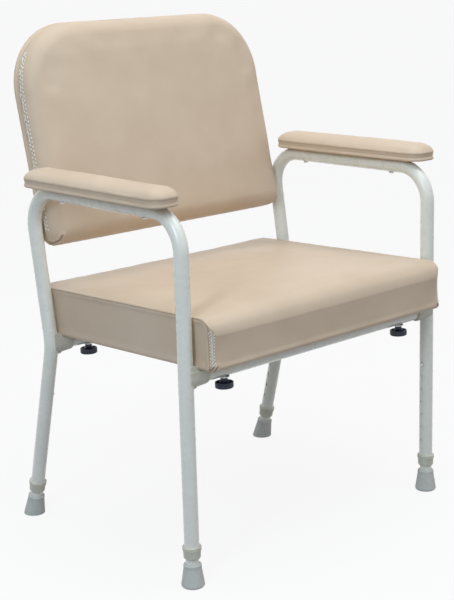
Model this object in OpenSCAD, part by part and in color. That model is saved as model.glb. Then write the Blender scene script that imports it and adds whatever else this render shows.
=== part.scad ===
// Day chair: two bent tube side frames, cross rails, legs that adjust in height,
// and a padded seat, backrest and arm pads.
// X runs across the chair, +Y is the rear and +Z is up. The sitter faces -Y.
// The origin is on the floor, at the middle of the whole chair's outline.

/* [Side frames] */
// Distance between the centre lines of the two side frames
frame_w = 600; // [500:5:760]
// Outer diameter of the frame tube
tube_d = 25.4; // [24:0.2:32]
// Wall of the frame tube
tube_wall = 1.2; // [0.9:0.1:2]
// Height of the arm rail's centre line
arm_z = 626.4; // [560:1:720]
// From the front leg's axis to the rear corner of the arm rail
arm_run = 408.4; // [360:1:480]
// Radius of the two top bends, on the centre line
corner_r = 62; // [50:1:75]
// Height of the kink between the upright and the rear leg
kink_z = 347; // [320:1:380]
// Radius of the kink's bend, on the centre line
kink_r = 100; // [60:5:120]
// Lean of the upright to the rear, in degrees
upright_rake = 8.05; // [4:0.05:12]
// Splay of the rear leg to the rear, in degrees
leg_splay = 14.5; // [8:0.5:18]

/* [Adjustable legs] */
// Distance from the floor to the lower end of the frame tube, along the leg
tube_base = 54; // [48:1:64]
// Radial clearance of the inner leg in the frame tube
leg_clear = 0.4; // [0.2:0.05:0.6]
// Wall of the inner leg
leg_wall = 1.2; // [0.9:0.1:2]
// Distance from the floor to the upper end of the inner leg
leg_top = 300; // [285:1:312]
// Distance from the floor to the lowest adjustment hole
hole_base = 102.6; // [90:0.2:110]
// Distance from one adjustment hole to the next
hole_pitch = 25.4; // [20:0.2:27]
// Number of adjustment holes in each leg
hole_count = 7; // [3:1:7]
// Diameter of an adjustment hole
hole_d = 8; // [6:0.2:9]
// Radial clearance of the snap button in its holes
button_clear = 0.4; // [0.2:0.05:0.6]
// How far the snap button stands out of the frame tube
button_proud = 3; // [2:0.2:5]

/* [Collars and feet] */
// Outer diameter of the collar's lip
collar_d = 32; // [30:0.5:40]
// Distance from the floor to the top of the collar
collar_top = 72.7; // [66:0.1:84]
// Height of the collar's upper lip
collar_lip = 7; // [4:0.5:10]
// Thickness of the collar's flange under the frame tube
collar_flange = 3; // [2:0.5:5]
// Diameter of the foot on the floor
foot_d = 39.7; // [34:0.1:46]
// Diameter of the foot at its rim
foot_rim_d = 30.6; // [28:0.1:36]
// Height of the foot
foot_h = 41; // [32:0.5:44]
// Thickness of rubber under the inner leg
foot_sole = 8; // [5:0.5:12]

/* [Cross rails] */
// Height of the front rail's centre line
rail_z = 359.7; // [330:0.1:390]
// Length of a saddle along the rail
saddle_l = 26; // [20:0.5:34]
// Wall of a saddle around the rail
saddle_wall = 2.5; // [1.5:0.1:4]
// Rise of a saddle's heel above the rail
heel_rise = 8; // [4:0.5:12]
// Length of the spigot that the rail slides over
spigot_l = 44; // [38:1:60]
// Diameter of a rail screw
rail_screw_d = 6; // [4:0.5:6]

/* [Seat] */
// Slope of the seat down to the rear, in degrees
seat_slope = 1.9; // [0:0.1:4]
// Reach of the seat in front of the front legs' axis
seat_reach = 49.2; // [20:0.2:90]
// Reach of the seat behind the rear rail's axis
seat_rear_reach = 56.7; // [46:0.1:80]
// Height of the seat cushion at its seam
seat_t = 85.7; // [60:0.1:100]
// Crown of the seat above its seam
seat_crown = 8; // [2:0.5:14]
// Radius of the seat's front edge
seat_nose_r = 28; // [15:1:38]
// Corner radius of the seat in plan
seat_corner_r = 14; // [8:1:30]
// Radius of the seat's lower edge
seat_hem_r = 8; // [4:0.5:14]
// Gap between a cushion's side and the frame tube beside it
side_gap = 2.3; // [1:0.1:6]
// Thickness of the plywood boards in the cushions
board_t = 12; // [9:0.5:15]
// Margin of the board inside the cushion's outline
board_margin = 25; // [16:1:40]

/* [Seat knobs] */
// Distance from the side frame's centre line to a knob
knob_inset = 82; // [60:1:120]
// Diameter of the knob
knob_d = 31; // [26:0.5:36]
// Height of the knob's rim
knob_h = 10; // [7:0.5:14]
// Height of the boss between the knob's rim and its washer
boss_h = 8; // [5:0.5:12]
// Diameter of the knob's thread
stud_d = 8; // [6:1:8]
// Thickness of the knob's washer
washer_t = 1.6; // [1:0.1:2.5]

/* [Backrest] */
// Lean of the backrest, in degrees
back_rake = 12.4; // [8:0.1:18]
// Height of the backrest along its lean
back_l = 398; // [340:1:460]
// Thickness of the backrest between its front and rear edges
back_t = 51.3; // [44:0.1:70]
// Height of the backrest's lower rear edge
back_z = 517; // [490:1:545]
// From the upright's axis back to the backrest's lower rear edge
back_set = 13.3; // [12:0.1:20]
// Crown of the backrest's front
back_crown = 8; // [2:0.5:14]
// Radius of the backrest's upper corners
back_top_r = 122; // [60:1:160]
// Radius of the backrest's lower corners
back_low_r = 28; // [15:1:60]
// Radius of the backrest's front edge
back_edge_r = 30; // [18:1:38]
// Radius of the backrest's rear edge
back_hem_r = 10; // [5:0.5:14]
// Thickness of the strap behind the backrest
strap_t = 4; // [3:0.5:6]
// Height of the strap
strap_h = 36; // [30:1:44]

/* [Arm pads] */
// Width of an arm pad
pad_w = 72; // [56:1:90]
// Length of an arm pad
pad_l = 372; // [330:1:400]
// From the front leg's axis to the front end of the arm pad
pad_front = 8; // [0:1:20]
// Offset of the arm pad outward from the frame tube
pad_offset = 8; // [0:0.5:12]
// Height of the arm pad's side up to its seam
pad_side_h = 13; // [11:0.5:20]
// Height of the arm pad's dome above its seam
pad_dome_h = 19; // [10:0.5:26]
// Corner radius of the arm pad in plan
pad_corner_r = 28; // [16:1:34]
// Narrowing of the arm pad at its front end
pad_taper = 8; // [0:0.5:14]
// Diameter of an arm screw
arm_screw_d = 5; // [4:0.5:6]

/* [Hidden] */
$fn = 48;

// Colours, as the photograph shows them
TUBE = "#b4b8ae";
VINYL = "#c5ad98";
IVORY = "#d9d6c6";
FOOT_GREY = "#a09d92";
KNOB_BLUE = "#2c3340";
STEEL = "#c4c6c8";
PLY = "#c9a878";

// Clearances that many pieces share
snug = 0.05;
rest_gap = 0.3;
overrun = 1;

// Side frame
tube_r = tube_d / 2;
bore_d = tube_d - 2 * tube_wall;
half_w = frame_w / 2;
half_bend = (upright_rake + leg_splay) / 2;
kink_y = arm_run - (arm_z - kink_z) * tan(upright_rake);
rear_y = kink_y + kink_z * tan(leg_splay);
kink_tangent = kink_r * tan(half_bend);
top_tangent = corner_r * tan((90 + upright_rake) / 2);
upright_l = (arm_z - kink_z) / cos(upright_rake);
rear_leg_l = kink_z / cos(leg_splay);
kink_away = kink_r / cos(half_bend);
kink_lean = (leg_splay - upright_rake) / 2;
bend_mark = tube_wall / 24;
bend_lap = tube_wall / 2.4;

// Adjustable legs
leg_d = bore_d - 2 * leg_clear;
leg_bore_r = leg_d / 2 - leg_wall;
travel = hole_pitch * (hole_count - 1);
button_z = hole_base + travel;
button_r = hole_d / 2 - button_clear;
button_flange_share = 1.1;
button_flange_r = button_r + button_flange_share * leg_wall;
button_flange_t = leg_wall;
button_flange_x = sqrt(pow(leg_bore_r - snug, 2) - pow(button_flange_r, 2));
button_tip_x = tube_r + button_proud;
spring_t = 0.6;
spring_w = 6;
spring_l = 46;
spring_foot_share = 0.92;

// Rails, saddles and spigots
rear_rail_y = kink_y + kink_away - kink_r;
rear_rail_z = rail_z - rear_rail_y * tan(seat_slope);
rail_end = half_w - tube_r - 2 * saddle_wall;
spigot_d = bore_d - 2 * snug;
spigot_end = half_w - tube_r - spigot_l;
rail_screw_x = half_w - tube_r - (saddle_l + spigot_l) / 2;
saddle_rise_share = 0.55;
screw_head_share = 1.8;
screw_head_h_share = 0.5;

// Seat, in a frame whose floor is the seat's underside
seat_edge_share = 0.75;
seat_half_w = half_w - tube_r - side_gap;
seat_lift = tube_r + rest_gap;
rail_tops_y = [0, rear_rail_y / cos(seat_slope)];
seat_rear = rail_tops_y[1] + seat_rear_reach;
seat_l = seat_reach + seat_rear;
knob_x = half_w - knob_inset;
nut_flange_share = 1.35;
nut_barrel_share = 0.62;
nut_flange_t = 1.5;
stud_hole_d = stud_d + 6 * snug;
stud_top = board_t - nut_flange_t - 2 * snug;
washer_top = -seat_lift - tube_r - snug;
boss_top = washer_top - washer_t - snug;
knob_top = boss_top - boss_h;
washer_share = 0.6;
washer_r = washer_share * knob_d / 2;
knob_floor_share = 0.6;
flute_count = 20;
flute_r = knob_d / 24;

// Backrest, in a frame whose floor is the backrest's rear face
back_y = kink_y + (back_z - kink_z) * tan(upright_rake) + back_set;
strap_half_w = half_w - tube_r / 4;
strap_low = strap_h / 3;
lug_in = half_w - tube_r + rest_gap;
lug_margin = strap_h / 12;
lug_front = (back_set + strap_h * (tan(back_rake) - tan(upright_rake)) / 2) * cos(back_rake);
back_screw_d = rail_screw_d;
back_board_margin = board_margin;
BACK_SCREW_SHARES = [-0.6, -0.2, 0.2, 0.6];
STRAP_SCREW_SHARES = [0.25, 0.75];
back_screw_y = max(strap_low + strap_h / 2, back_board_margin + 2 * back_screw_d);

// Arm pads, in a frame whose floor is the pad's underside
pad_z = arm_z + tube_r + rest_gap;
pad_half_w = pad_w / 2;
pad_round_share = 0.96;
arm_board_half_w = pad_half_w - board_margin / 2;
pad_skin = 2;
arm_board_t = pad_side_h - pad_skin;
pad_board_rear = pad_front + pad_l - board_margin;
arm_screw_ys = [corner_r + board_margin, min(arm_run - top_tangent, pad_board_rear) - board_margin];

// Front and rear ends of the whole chair's outline
seat_front = seat_reach * cos(seat_slope) - (seat_lift + seat_hem_r) * sin(seat_slope);
chair_front = -max(seat_front, foot_d / 2);
back_rear = back_y + (back_l - back_hem_r) * sin(back_rake);
foot_rear = rear_y + foot_d / 2 / cos(leg_splay);
origin_y = (chair_front + max(back_rear, foot_rear)) / 2;

// Names of the repeated sub-parts
SIDES = ["left", "right"];
ROWS = ["front", "rear"];
CORNERS = [for (row = ROWS, side = SIDES) str(row, "_", side)];
LEG_PARTS = ["inner_leg", "collar", "foot", "snap_button", "button_spring", "saddle"];
KNOB_PARTS = ["knob", "knob_stud", "knob_washer"];
SIDE_PARTS = ["side_frame", "arm_pad", "arm_board"];

// Padded forms: a stack of plan outlines joined into one closed skin.
// A plan is [half width, front y, rear y, front corner radius, rear corner radius, front taper].
CORNER_STEPS = 6;
SIDE_STEPS = 6;
LEAST_RADIUS_SHARE = 0.25;
ROOM_SHARE = 0.98;
EDGE_SHARES = [0, 0.08, 0.24, 0.5, 0.8, 1];
INNER_SHARES = [0.2, 0.42, 0.66, 0.9];
HEM_ANGLES = [0, 30, 60, 90];
WALL_SHARES = [0.3, 0.6, 0.85];
DRAW_SHARES = [0.8, 1, 0.6];

function corner_point(cx, cy, r, start, i) =
    let (a = start + 90 * i / (CORNER_STEPS - 1)) [cx + r * cos(a), cy + r * sin(a)];

function between(a, b) =
    [for (i = [1:SIDE_STEPS - 1]) a + (b - a) * i / SIDE_STEPS];

function inset_radius(r, inset) = max(r - inset, r * LEAST_RADIUS_SHARE);

function plain_outline(plan, inset) =
    let (
        w = plan[0] - inset, y0 = plan[1] + inset, y1 = plan[2] - inset,
        room = min(w, (y1 - y0) / 2) * ROOM_SHARE,
        rf = min(inset_radius(plan[3], inset), room), rr = min(inset_radius(plan[4], inset), room),
        steps = [0:CORNER_STEPS - 1],
        fr = [for (i = steps) corner_point(w - rf, y0 + rf, rf, -90, i)],
        rear_r = [for (i = steps) corner_point(w - rr, y1 - rr, rr, 0, i)],
        rear_l = [for (i = steps) corner_point(rr - w, y1 - rr, rr, 90, i)],
        fl = [for (i = steps) corner_point(rf - w, y0 + rf, rf, 180, i)],
        last = CORNER_STEPS - 1
    )
    concat(
        fr, between(fr[last], rear_r[0]), rear_r, between(rear_r[last], rear_l[0]),
        rear_l, between(rear_l[last], fl[0]), fl, between(fl[last], fr[0])
    );

// The taper draws the inner side (-x) in towards the front end.
function tapered(plan, p) =
    let (nearness = (plan[2] - p[1]) / (plan[2] - plan[1]), inner = (plan[0] - p[0]) / (2 * plan[0]))
    [p[0] + plan[5] * inner * pow(nearness, 2), p[1]];

function outline(plan, inset) = [for (p = plain_outline(plan, inset)) tapered(plan, p)];

function edge_drop(d, r, h) = d >= r ? 0 : h * (1 - sqrt(max(0, 1 - pow(1 - d / r, 2))));

function crown_at(plan, crown, p) =
    let (mid = (plan[1] + plan[2]) / 2, u = p[0] / plan[0], v = (p[1] - mid) / ((plan[2] - plan[1]) / 2))
    crown * (1 - pow(u, 2)) * (1 - pow(v, 2));

// shape is [top height, crown, edge radius, edge height, nose radius, hem radius, draw-in]
function top_z(plan, shape, p, inset) =
    shape[0] + crown_at(plan, shape[1], p) - edge_drop(inset, shape[2], shape[3])
    - (shape[4] > 0 ? edge_drop(p[1] - plan[1], shape[4], shape[4]) : 0);

function flat_ring(plan, inset, z) = [for (p = outline(plan, inset)) [p[0], p[1], z]];

function hem_ring(plan, shape, a) =
    flat_ring(plan, shape[5] * (1 - sin(a)), shape[5] * (1 - cos(a)));

function wall_ring(plan, shape, share, draw) =
    let (outer = outline(plan, 0), drawn = outline(plan, shape[6] * draw))
    [for (i = [0:len(outer) - 1])
        let (top = top_z(plan, shape, outer[i], 0))
        [drawn[i][0], drawn[i][1], shape[5] + (top - shape[5]) * share]];

function top_ring(plan, shape, inset) =
    [for (p = outline(plan, inset)) [p[0], p[1], top_z(plan, shape, p, inset)]];

function inner_inset(plan, shape, share) =
    let (reach = min(plan[0], (plan[2] - plan[1]) / 2)) shape[2] + share * (reach - shape[2]);

function form_rings(plan, shape, pocket, pocket_h) = concat(
    [flat_ring(pocket, 0, pocket_h), flat_ring(pocket, 0, 0)],
    [for (a = HEM_ANGLES) hem_ring(plan, shape, a)],
    [for (i = [0:len(WALL_SHARES) - 1]) wall_ring(plan, shape, WALL_SHARES[i], DRAW_SHARES[i])],
    [for (s = EDGE_SHARES) top_ring(plan, shape, s * shape[2])],
    [for (s = INNER_SHARES) top_ring(plan, shape, inner_inset(plan, shape, s))]
);

module padded_form(plan, shape, pocket, pocket_h) {
    rings = form_rings(plan, shape, pocket, pocket_h);
    n = len(rings[0]);
    m = len(rings);
    mid_y = (plan[1] + plan[2]) / 2;
    centre = tapered(plan, [0, mid_y]);
    points = concat(
        [for (ring = rings, p = ring) p],
        [[0, (pocket[1] + pocket[2]) / 2, pocket_h], [centre[0], centre[1], shape[0] + shape[1]]]
    );
    around = [for (j = [0:n - 1]) [j, (j + 1) % n]];
    faces = concat(
        [for (j = around) [m * n, j[0], j[1]]],
        [for (i = [0:m - 2], j = around, half = [0, 1])
            half == 0 ? [i * n + j[0], (i + 1) * n + j[0], (i + 1) * n + j[1]]
                      : [i * n + j[0], (i + 1) * n + j[1], i * n + j[1]]],
        [for (j = around) [(m - 1) * n + j[1], (m - 1) * n + j[0], m * n + 1]]
    );
    polyhedron(points = points, faces = faces, convexity = 6);
}

// Rounded board that fits a pocket, and the pocket's plan for it
module board_plate(plan, t) {
    r = plan[3];
    w = plan[0];
    linear_extrude(height = t) {
        translate([-w, plan[1] + r]) square([2 * w, plan[2] - plan[1] - 2 * r]);
        translate([r - w, plan[1]]) square([2 * (w - r), plan[2] - plan[1]]);
        for (x = [-1, 1], y = [plan[1] + r, plan[2] - r]) translate([x * (w - r), y]) circle(r = r);
    }
}

// Room for a round-cornered board: the pocket's own corners are chords, which cut inside an arc
function pocket_for(plan, gap) =
    let (chord_depth = max(plan[3], plan[4]) * (1 - cos(45 / (CORNER_STEPS - 1))), d = gap + chord_depth)
    [plan[0] + d, plan[1] - d, plan[2] + d, plan[3] + d, plan[4] + d, plan[5]];

// Places a piece that is drawn for the right side, with x from the chair's mid-plane
module on_side(side) {
    translate([0, -origin_y, 0]) mirror([side == "left" ? 1 : 0, 0, 0]) children();
}

module whole_chair() {
    translate([0, -origin_y, 0]) children();
}

// Puts a piece drawn along +Z on the axis of a front or rear leg of the right side frame
module on_leg(row) {
    translate([half_w, row == "rear" ? rear_y : 0, 0])
        rotate([row == "rear" ? leg_splay : 0, 0, 0]) children();
}

// Part of a ring in the YZ plane, from angle a0 to a1 measured from +Y towards +Z
module bend(y, z, r, a0, a1, d) {
    translate([0, y, z]) rotate([90, 0, 90]) rotate([0, 0, a0])
        rotate_extrude(angle = a1 - a0) translate([r, 0]) circle(d = d);
}

// A straight of length l along +Z. At a bend it stops a hair's breadth short, which leaves
// the bender's mark, and a slightly thinner core joins the two.
module straight(d, l, bend_before, bend_after) {
    from = bend_before ? bend_mark : 0;
    to = l - (bend_after ? bend_mark : 0);
    translate([0, 0, from]) cylinder(d = d, h = to - from);
    for (z = concat(bend_before ? [0] : [], bend_after ? [l] : []))
        translate([0, 0, z - bend_lap]) cylinder(d = d - 2 * bend_mark, h = 2 * bend_lap);
}

// A rod of diameter d along a side frame's centre line, longer by spare at both ends
module side_rod(d, spare) {
    leg_start = tube_base - spare;
    translate([0, 0, leg_start]) straight(d, arm_z - corner_r - leg_start, false, true);
    bend(corner_r, arm_z - corner_r, corner_r, 90, 180, d);
    translate([0, corner_r, arm_z]) rotate([-90, 0, 0])
        straight(d, arm_run - top_tangent - corner_r, true, true);
    bend(arm_run - top_tangent, arm_z - corner_r, corner_r, -upright_rake, 90, d);
    translate([0, kink_y, kink_z]) rotate([-upright_rake, 0, 0]) translate([0, 0, kink_tangent])
        straight(d, upright_l - kink_tangent - top_tangent, true, true);
    bend(kink_y + kink_away * cos(kink_lean), kink_z + kink_away * sin(kink_lean), kink_r,
        180 - upright_rake, 180 + leg_splay, d);
    translate([0, rear_y, 0]) rotate([leg_splay, 0, 0]) translate([0, 0, leg_start])
        straight(d, rear_leg_l - kink_tangent - leg_start, false, true);
}

module rail_frame(row) {
    translate([0, row == "rear" ? rear_rail_y : 0, row == "rear" ? rear_rail_z : rail_z]) children();
}

module adjustment_holes(row) {
    on_leg(row) for (i = [0:hole_count - 1])
        translate([0, 0, hole_base + i * hole_pitch]) rotate([0, -90, 0]) cylinder(d = hole_d, h = tube_d);
}

module spigot(row) {
    rail_frame(row) translate([spigot_end, 0, 0]) rotate([0, 90, 0])
        cylinder(d = spigot_d, h = half_w - spigot_end);
}

module rail_screw_hole(row, d) {
    rail_frame(row) translate([rail_screw_x, 0, 0]) rotate([-90, 0, 0])
        cylinder(d = d, h = tube_d);
}

module strap_lug() {
    back_frame() translate([lug_in, strap_low + lug_margin, -rest_gap])
        cube([strap_half_w - lug_in, strap_h - 2 * lug_margin, lug_front + rest_gap]);
}

module side_frame(side) {
    color(TUBE) on_side(side) difference() {
        union() {
            translate([half_w, 0, 0]) side_rod(tube_d, 0);
            for (row = ROWS) spigot(row);
            strap_lug();
        }
        translate([half_w, 0, 0]) side_rod(bore_d, overrun);
        for (row = ROWS) {
            adjustment_holes(row);
            rail_screw_hole(row, rail_screw_d);
        }
        for (y = arm_screw_ys) translate([half_w, y, arm_z - tube_d])
            cylinder(d = arm_screw_d + 6 * snug, h = 2 * tube_d);
        strap_screw_places() translate([0, 0, -overrun])
            cylinder(d = arm_screw_d, h = lug_front + overrun);
    }
}

module rail(row) {
    color(TUBE) whole_chair() difference() {
        rail_frame(row) translate([-rail_end, 0, 0]) rotate([0, 90, 0]) difference() {
            cylinder(d = tube_d, h = 2 * rail_end);
            translate([0, 0, -overrun]) cylinder(d = bore_d, h = 2 * (rail_end + overrun));
        }
        for (x = [-1, 1]) {
            knob_place(row, x) translate([0, 0, -2 * tube_d])
                cylinder(d = stud_hole_d, h = 2 * tube_d + seat_lift);
            mirror([x < 0 ? 1 : 0, 0, 0]) rail_screw_hole(row, rail_screw_d + 4 * snug);
        }
    }
}

// Plain pan-head screw along +Z: the shank starts at z = 0 and the head lies below it
module screw(d, l) {
    head_h = d * screw_head_h_share;
    translate([0, 0, -head_h]) cylinder(d = d * screw_head_share, h = head_h);
    cylinder(d = d - 2 * snug, h = l);
}

module rail_screws() {
    color(STEEL) whole_chair() for (row = ROWS, x = [-1, 1])
        mirror([x < 0 ? 1 : 0, 0, 0]) rail_frame(row)
            translate([rail_screw_x, tube_r + snug, 0]) rotate([90, 0, 0]) screw(rail_screw_d, tube_r);
}

// Side outline of a saddle: u runs from the leg's surface along the rail, v up from the rail's axis
function saddle_outline() =
    let (
        r = tube_r + saddle_wall, heel = tube_r + heel_rise,
        toe_l = saddle_l / 5, toe = saddle_wall, root = -tube_r,
        rise_end = saddle_l * saddle_rise_share
    )
    concat(
        [[root, -r - toe], [toe_l / 2, -r - toe], [toe_l, -r]],
        [[saddle_l, -r + saddle_wall / 2], [saddle_l, r - saddle_wall / 2], [rise_end, r]],
        [for (i = [1:4]) let (s = i / 4) [rise_end * (1 - s), r + (heel - r) * (1 - pow(1 - s, 2))]],
        [[root, heel]]
    );

module saddle_block() {
    r = tube_r + saddle_wall;
    intersection() {
        translate([half_w - tube_r, r, 0]) rotate([90, 0, 0]) mirror([1, 0, 0])
            linear_extrude(height = 2 * r) polygon(saddle_outline());
        translate([half_w, 0, 0]) rotate([90, 0, -90]) linear_extrude(height = 2 * tube_d) {
            circle(r = r);
            translate([-r, 0]) square([2 * r, tube_r]);
            translate([-tube_r, 0]) square([tube_d, tube_d]);
            translate([-tube_r / 2, -r - saddle_wall]) square([tube_r, r]);
        }
    }
}

// Room that the seat's rounded lower edge takes above a rail
module seat_room() {
    seat_frame() {
        translate([0, -tube_d, 0] - [0, tube_d, rest_gap])
            cube([seat_half_w - seat_hem_r, seat_l, seat_t]);
        translate([0, -2 * tube_d, seat_hem_r]) cube([seat_half_w + rest_gap, seat_l, seat_t]);
        translate([seat_half_w - seat_hem_r, -2 * tube_d, seat_hem_r]) rotate([-90, 0, 0])
            cylinder(r = seat_hem_r + rest_gap, h = seat_l);
    }
}

module saddle(row, side) {
    color(IVORY) on_side(side) difference() {
        rail_frame(row) saddle_block();
        seat_room();
        translate([half_w, 0, 0]) side_rod(tube_d + 2 * snug, 0);
        rail_frame(row) rotate([0, 90, 0]) {
            cylinder(d = tube_d + 2 * snug, h = rail_end + snug);
            cylinder(d = spigot_d + 2 * snug, h = half_w);
        }
    }
}

module inner_leg(row, side) {
    color(TUBE) on_side(side) on_leg(row) translate([0, 0, foot_sole]) difference() {
        cylinder(d = leg_d, h = leg_top - foot_sole);
        translate([0, 0, -overrun]) cylinder(r = leg_bore_r, h = leg_top + 2 * overrun);
        translate([0, 0, button_z - foot_sole]) rotate([0, -90, 0])
            cylinder(r = button_r + snug, h = tube_d);
    }
}

module collar(row, side) {
    grip_r = tube_r + snug;
    low_r = tube_r + (collar_d / 2 - tube_r) / 2;
    base = tube_base - collar_flange;
    color(IVORY) on_side(side) on_leg(row) rotate_extrude() polygon([
        [leg_d / 2 + snug, base], [low_r - collar_flange / 3, base], [low_r, base + collar_flange / 2],
        [collar_d / 2 - collar_flange / 3, collar_top - collar_lip], [collar_d / 2, collar_top - collar_lip],
        [collar_d / 2, collar_top - collar_flange / 2], [collar_d / 2 - collar_flange / 2, collar_top],
        [grip_r, collar_top], [grip_r, tube_base], [leg_d / 2 + snug, tube_base]
    ]);
}

module foot(row, side) {
    rim_r = foot_rim_d / 2;
    base_r = foot_d / 2;
    round_r = foot_sole / 2;
    tilt_room = base_r * tan(leg_splay);
    start = row == "rear" ? -tilt_room : 0;
    color(FOOT_GREY) on_side(side) difference() {
        on_leg(row) rotate_extrude() difference() {
            union() {
                polygon([
                    [0, start], [base_r - round_r, start], [base_r, start + round_r],
                    [rim_r, foot_h - foot_sole], [rim_r, foot_h - round_r / 2],
                    [rim_r - round_r / 2, foot_h], [0, foot_h]
                ]);
                intersection() {
                    translate([base_r - round_r, start + round_r]) circle(r = round_r);
                    translate([0, start]) square([base_r, round_r]);
                }
            }
            translate([0, foot_sole]) square([leg_d / 2 + snug, foot_h]);
            translate([0, foot_h - foot_sole / 2]) square([rim_r - round_r, foot_h]);
        }
        translate([half_w - foot_d, -foot_d, -foot_d]) cube([2 * foot_d, rear_y + 3 * foot_d, foot_d]);
    }
}

module snap_button(row, side) {
    dome_r = button_r / 2;
    dome_x = button_tip_x - dome_r;
    color(STEEL) on_side(side) on_leg(row) translate([0, 0, button_z]) rotate([0, -90, 0])
        rotate_extrude() {
            translate([0, button_flange_x - button_flange_t]) square([button_flange_r, button_flange_t]);
            translate([0, button_flange_x - snug]) square([button_r, dome_x - button_flange_x + snug]);
            translate([0, dome_x - snug]) square([button_r - dome_r, dome_r + snug]);
            intersection() {
                translate([button_r - dome_r, dome_x]) circle(r = dome_r);
                translate([0, dome_x - snug]) square([button_r, dome_r + snug]);
            }
        }
}

// A flat bar of thickness t from point a to point b
module bar(a, b, t) {
    run = b - a;
    translate(a) rotate([0, 0, atan2(run[1], run[0])]) translate([0, -t / 2]) square([norm(run), t]);
}

// Bent leaf that pushes the snap button out: x runs from the leg's axis towards the button
module button_spring(row, side) {
    reach = leg_bore_r * spring_foot_share - spring_t;
    head = [button_flange_x - button_flange_t - snug - spring_t / 2, button_r];
    apex = [-reach / 4, -spring_l];
    heel = [-reach, button_r];
    color(STEEL) on_side(side) on_leg(row) translate([0, -spring_w / 2, button_z])
        mirror([1, 0, 0]) rotate([-90, 0, 0]) mirror([0, 1, 0]) linear_extrude(height = spring_w) {
            bar([head[0], -button_r], head, spring_t);
            bar(apex, [head[0], -button_r], spring_t);
            bar(apex, heel, spring_t);
            translate(apex) circle(d = 2 * spring_t);
            translate([head[0], -button_r]) circle(d = spring_t);
        }
}

// The seat's own frame: z = 0 is its underside, which follows the tops of both rails
module seat_frame() {
    translate([0, 0, rail_z]) rotate([-seat_slope, 0, 0]) translate([0, 0, seat_lift]) children();
}

module knob_place(row, side_sign) {
    seat_frame() translate([side_sign * knob_x, rail_tops_y[row == "rear" ? 1 : 0], 0]) children();
}

function seat_plan() =
    [seat_half_w, -seat_reach, seat_rear, seat_corner_r, seat_corner_r, 0];

function seat_board_plan() = let (m = board_margin)
    [seat_half_w - m, m - seat_reach, seat_rear - m, m, m, 0];

module seat_cushion() {
    edge_r = seat_hem_r * seat_edge_share;
    shape = [seat_t + seat_hem_r / 4, seat_crown, edge_r, seat_hem_r / 4, seat_nose_r, seat_hem_r, side_gap];
    color(VINYL) whole_chair() seat_frame()
        padded_form(seat_plan(), shape, pocket_for(seat_board_plan(), rest_gap), board_t + rest_gap);
}

// Tee nut with its flange on top of a board, its barrel down through the board
module tee_nut(d, t) {
    flange_r = d * nut_flange_share;
    difference() {
        union() {
            translate([0, 0, t - nut_flange_t]) cylinder(r = flange_r, h = nut_flange_t);
            translate([0, 0, nut_flange_t]) cylinder(r = d * nut_barrel_share, h = t - nut_flange_t);
        }
        cylinder(r = d / 2 + snug, h = t + overrun);
    }
}

module tee_nut_room(d, t) {
    translate([0, 0, t - nut_flange_t - snug]) cylinder(r = d * nut_flange_share + snug, h = board_t);
    translate([0, 0, -overrun]) cylinder(r = d * nut_barrel_share + snug, h = t + board_t);
}

module seat_board() {
    color(PLY) whole_chair() difference() {
        seat_frame() board_plate(seat_board_plan(), board_t);
        for (row = ROWS, x = [-1, 1]) knob_place(row, x) tee_nut_room(stud_d, board_t);
    }
}

module seat_tee_nuts() {
    color(STEEL) whole_chair() for (row = ROWS, x = [-1, 1]) knob_place(row, x) tee_nut(stud_d, board_t);
}

// Outline of the knob from its axis outward: z = 0 is the top of its rim
function knob_outline() =
    let (
        r = knob_d / 2, wall = knob_h / 4, floor_z = -knob_floor_share * knob_h,
        boss_r = nut_barrel_share * stud_d + wall / 2
    )
    [
        [0, -knob_h], [r - wall / 2, -knob_h], [r, wall / 2 - knob_h], [r, -wall / 4], [r - wall / 4, 0],
        [r - wall, 0], [r - wall, floor_z], [boss_r + wall, floor_z], [boss_r + wall, 0],
        [boss_r, wall / 2], [boss_r, boss_h], [stud_d / 2 + snug, boss_h], [stud_d / 2 + snug, floor_z],
        [0, floor_z]
    ];

module knob(row, side) {
    color(KNOB_BLUE) on_side(side) knob_place(row, 1) translate([0, 0, knob_top]) difference() {
        rotate_extrude() polygon(knob_outline());
        for (i = [0:flute_count - 1]) rotate([0, 0, (i + 0.5) * 360 / flute_count])
            translate([knob_d / 2 + flute_r / 2, 0, -knob_h - overrun])
                cylinder(r = flute_r, h = knob_h + 2 * overrun);
    }
}

module knob_stud(row, side) {
    foot_z = knob_top - knob_floor_share * knob_h;
    color(STEEL) on_side(side) knob_place(row, 1) translate([0, 0, foot_z])
        cylinder(d = stud_d, h = stud_top - foot_z);
}

module knob_washer(row, side) {
    color(STEEL) on_side(side) knob_place(row, 1) translate([0, 0, washer_top - washer_t]) difference() {
        cylinder(r = washer_r, h = washer_t);
        translate([0, 0, -overrun]) cylinder(d = stud_d + 4 * snug, h = washer_t + 2 * overrun);
    }
}

// The backrest's own frame: z = 0 is its rear face, y runs up along its lean
module back_frame() {
    translate([0, back_y, back_z]) rotate([90 - back_rake, 0, 0]) children();
}

function back_plan() = [seat_half_w, 0, back_l, back_low_r, back_top_r, 0];

function back_board_plan() = let (m = back_board_margin)
    [seat_half_w - m, m, back_l - m, back_top_r - m, back_top_r - m, 0];

module backrest_cushion() {
    shape = [back_t, back_crown, back_edge_r, back_edge_r, 0, back_hem_r, side_gap];
    color(VINYL) whole_chair() back_frame()
        padded_form(back_plan(), shape, pocket_for(back_board_plan(), rest_gap), board_t + rest_gap);
}

module back_screw_places() {
    back_frame() for (share = BACK_SCREW_SHARES)
        translate([share * seat_half_w, back_screw_y, 0]) children();
}

module backrest_board() {
    color(PLY) whole_chair() difference() {
        back_frame() board_plate(back_board_plan(), board_t);
        back_screw_places() tee_nut_room(back_screw_d, board_t);
    }
}

module backrest_tee_nuts() {
    color(STEEL) whole_chair() back_screw_places() tee_nut(back_screw_d, board_t);
}

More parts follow.
